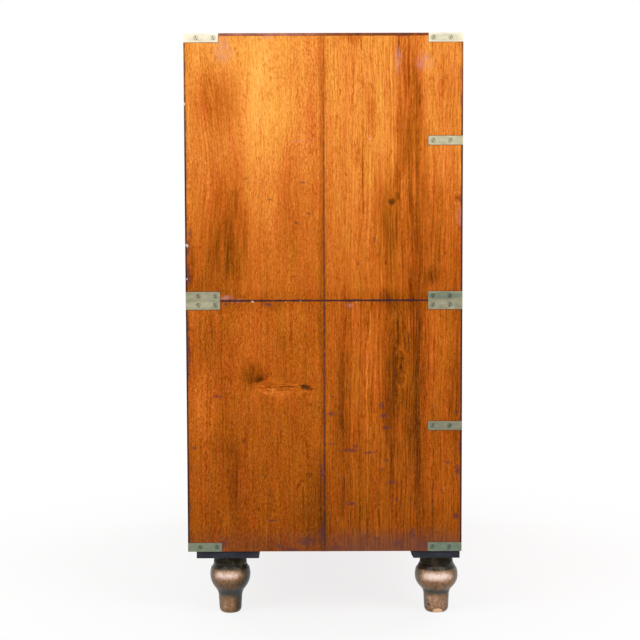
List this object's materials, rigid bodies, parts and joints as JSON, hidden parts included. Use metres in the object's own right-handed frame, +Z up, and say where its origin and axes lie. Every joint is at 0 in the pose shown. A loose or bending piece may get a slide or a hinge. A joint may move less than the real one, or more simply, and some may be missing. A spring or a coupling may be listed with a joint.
{
  "type": "campaign chest",
  "caption": "Two-section military chest of drawers in teak: drawers with flush swing handles and locks, corners bound in flush brass straps, on turned feet that unscrew.",
  "frame": {"origin": "on the floor, under the centre of the chest", "axes": "+Z up, +X to the right as one faces the drawers, -Y out of the front, so the drawers open along -Y"},
  "size_m": [0.991, 0.508, 1.078],
  "materials": {
    "teak": "old French polish, glossy orange-brown, dinged",
    "lining_wood": "bare, dry and dusty",
    "ebonised_wood": "near-black stain under worn polish",
    "turned_wood": "dark varnish, worn to brown on the balls",
    "brass": "dull, grey-green patina with rubbed edges",
    "screw_brass": "dull slotted heads, dark in the slots",
    "bolt_steel": "worn, lightly oiled"
  },
  "bodies": {
    "lower_section": {"lower_top_board": "teak", "lower_left_side": "teak", "lower_right_side": "teak", "lower_bottom_board": "teak", "lower_back_panel": "lining_wood", "lower_drawer_rail": "teak", "lower_dust_board": "lining_wood", "lower_drawer_stops": "lining_wood", "lower_brass_straps": "brass", "lower_strap_screws": "screw_brass", "locating_pegs": "lining_wood", "foot_blocks": "ebonised_wood"},
    "upper_section": {"upper_top_board": "teak", "upper_left_side": "teak", "upper_right_side": "teak", "upper_bottom_board": "teak", "upper_back_panel": "lining_wood", "upper_drawer_rail": "teak", "upper_dust_board": "lining_wood", "short_drawer_divider": "teak", "upper_drawer_stops": "lining_wood", "upper_brass_straps": "brass", "upper_strap_screws": "screw_brass"},
    "front_left_foot": {"front_left_foot": "turned_wood"},
    "rear_left_foot": {"rear_left_foot": "turned_wood"},
    "front_right_foot": {"front_right_foot": "turned_wood"},
    "rear_right_foot": {"rear_right_foot": "turned_wood"},
    "top_left_drawer": {"top_left_drawer_front": "teak", "top_left_drawer_box": "lining_wood", "top_left_pull_plate": "brass", "top_left_lock": "brass"},
    "top_left_lock_bolt": {"top_left_lock_bolt": "bolt_steel"},
    "top_left_bail": {"top_left_bail": "brass"},
    "top_right_drawer": {"top_right_drawer_front": "teak", "top_right_drawer_box": "lining_wood", "top_right_pull_plate": "brass", "top_right_lock": "brass"},
    "top_right_lock_bolt": {"top_right_lock_bolt": "bolt_steel"},
    "top_right_bail": {"top_right_bail": "brass"},
    "second_drawer": {"second_drawer_front": "teak", "second_drawer_box": "lining_wood", "second_pull_plates": "brass", "second_lock": "brass"},
    "second_lock_bolt": {"second_lock_bolt": "bolt_steel"},
    "second_left_bail": {"second_left_bail": "brass"},
    "second_right_bail": {"second_right_bail": "brass"},
    "third_drawer": {"third_drawer_front": "teak", "third_drawer_box": "lining_wood", "third_pull_plates": "brass", "third_lock": "brass"},
    "third_lock_bolt": {"third_lock_bolt": "bolt_steel"},
    "third_left_bail": {"third_left_bail": "brass"},
    "third_right_bail": {"third_right_bail": "brass"},
    "bottom_drawer": {"bottom_drawer_front": "teak", "bottom_drawer_box": "lining_wood", "bottom_pull_plates": "brass", "bottom_lock": "brass"},
    "bottom_lock_bolt": {"bottom_lock_bolt": "bolt_steel"},
    "bottom_left_bail": {"bottom_left_bail": "brass"},
    "bottom_right_bail": {"bottom_right_bail": "brass"}
  },
  "joints": [
    {"name": "upper_section_lift", "type": "slide", "parent": "lower_section", "child": "upper_section", "axis": [0, 0, 1], "range_m": [0, 0.06]},
    {"name": "front_left_foot_turn", "type": "hinge", "parent": "lower_section", "child": "front_left_foot", "pos_m": [-0.4455, -0.2105, 0.06], "axis": [0, 0, -1], "range_deg": [0, 360]},
    {"name": "rear_left_foot_turn", "type": "hinge", "parent": "lower_section", "child": "rear_left_foot", "pos_m": [-0.4455, 0.1785, 0.06], "axis": [0, 0, -1], "range_deg": [0, 360]},
    {"name": "front_right_foot_turn", "type": "hinge", "parent": "lower_section", "child": "front_right_foot", "pos_m": [0.4455, -0.2105, 0.06], "axis": [0, 0, -1], "range_deg": [0, 360]},
    {"name": "rear_right_foot_turn", "type": "hinge", "parent": "lower_section", "child": "rear_right_foot", "pos_m": [0.4455, 0.1785, 0.06], "axis": [0, 0, -1], "range_deg": [0, 360]},
    {"name": "top_left_drawer_slide", "type": "slide", "parent": "upper_section", "child": "top_left_drawer", "axis": [0, -1, 0], "range_m": [0, 0.38]},
    {"name": "top_left_lock_bolt_throw", "type": "slide", "parent": "top_left_drawer", "child": "top_left_lock_bolt", "axis": [0, 0, 1], "range_m": [0, 0.007]},
    {"name": "top_left_bail_swing", "type": "hinge", "parent": "top_left_drawer", "child": "top_left_bail", "pos_m": [-0.24275, -0.2503, 0.989], "axis": [-1, 0, 0], "range_deg": [-14, 120]},
    {"name": "top_right_drawer_slide", "type": "slide", "parent": "upper_section", "child": "top_right_drawer", "axis": [0, -1, 0], "range_m": [0, 0.38]},
    {"name": "top_right_lock_bolt_throw", "type": "slide", "parent": "top_right_drawer", "child": "top_right_lock_bolt", "axis": [0, 0, 1], "range_m": [0, 0.007]},
    {"name": "top_right_bail_swing", "type": "hinge", "parent": "top_right_drawer", "child": "top_right_bail", "pos_m": [0.24275, -0.2503, 0.989], "axis": [-1, 0, 0], "range_deg": [-14, 120]},
    {"name": "second_drawer_slide", "type": "slide", "parent": "upper_section", "child": "second_drawer", "axis": [0, -1, 0], "range_m": [0, 0.38]},
    {"name": "second_lock_bolt_throw", "type": "slide", "parent": "second_drawer", "child": "second_lock_bolt", "axis": [0, 0, 1], "range_m": [0, 0.007]},
    {"name": "second_left_bail_swing", "type": "hinge", "parent": "second_drawer", "child": "second_left_bail", "pos_m": [-0.245, -0.2503, 0.756], "axis": [-1, 0, 0], "range_deg": [-14, 120]},
    {"name": "second_right_bail_swing", "type": "hinge", "parent": "second_drawer", "child": "second_right_bail", "pos_m": [0.245, -0.2503, 0.756], "axis": [-1, 0, 0], "range_deg": [-14, 120]},
    {"name": "third_drawer_slide", "type": "slide", "parent": "lower_section", "child": "third_drawer", "axis": [0, -1, 0], "range_m": [0, 0.38]},
    {"name": "third_lock_bolt_throw", "type": "slide", "parent": "third_drawer", "child": "third_lock_bolt", "axis": [0, 0, 1], "range_m": [0, 0.007]},
    {"name": "third_left_bail_swing", "type": "hinge", "parent": "third_drawer", "child": "third_left_bail", "pos_m": [-0.245, -0.2503, 0.484], "axis": [-1, 0, 0], "range_deg": [-14, 120]},
    {"name": "third_right_bail_swing", "type": "hinge", "parent": "third_drawer", "child": "third_right_bail", "pos_m": [0.245, -0.2503, 0.484], "axis": [-1, 0, 0], "range_deg": [-14, 120]},
    {"name": "bottom_drawer_slide", "type": "slide", "parent": "lower_section", "child": "bottom_drawer", "axis": [0, -1, 0], "range_m": [0, 0.38]},
    {"name": "bottom_lock_bolt_throw", "type": "slide", "parent": "bottom_drawer", "child": "bottom_lock_bolt", "axis": [0, 0, 1], "range_m": [0, 0.007]},
    {"name": "bottom_left_bail_swing", "type": "hinge", "parent": "bottom_drawer", "child": "bottom_left_bail", "pos_m": [-0.245, -0.2503, 0.2605], "axis": [-1, 0, 0], "range_deg": [-14, 120]},
    {"name": "bottom_right_bail_swing", "type": "hinge", "parent": "bottom_drawer", "child": "bottom_right_bail", "pos_m": [0.245, -0.2503, 0.2605], "axis": [-1, 0, 0], "range_deg": [-14, 120]}
  ]
}
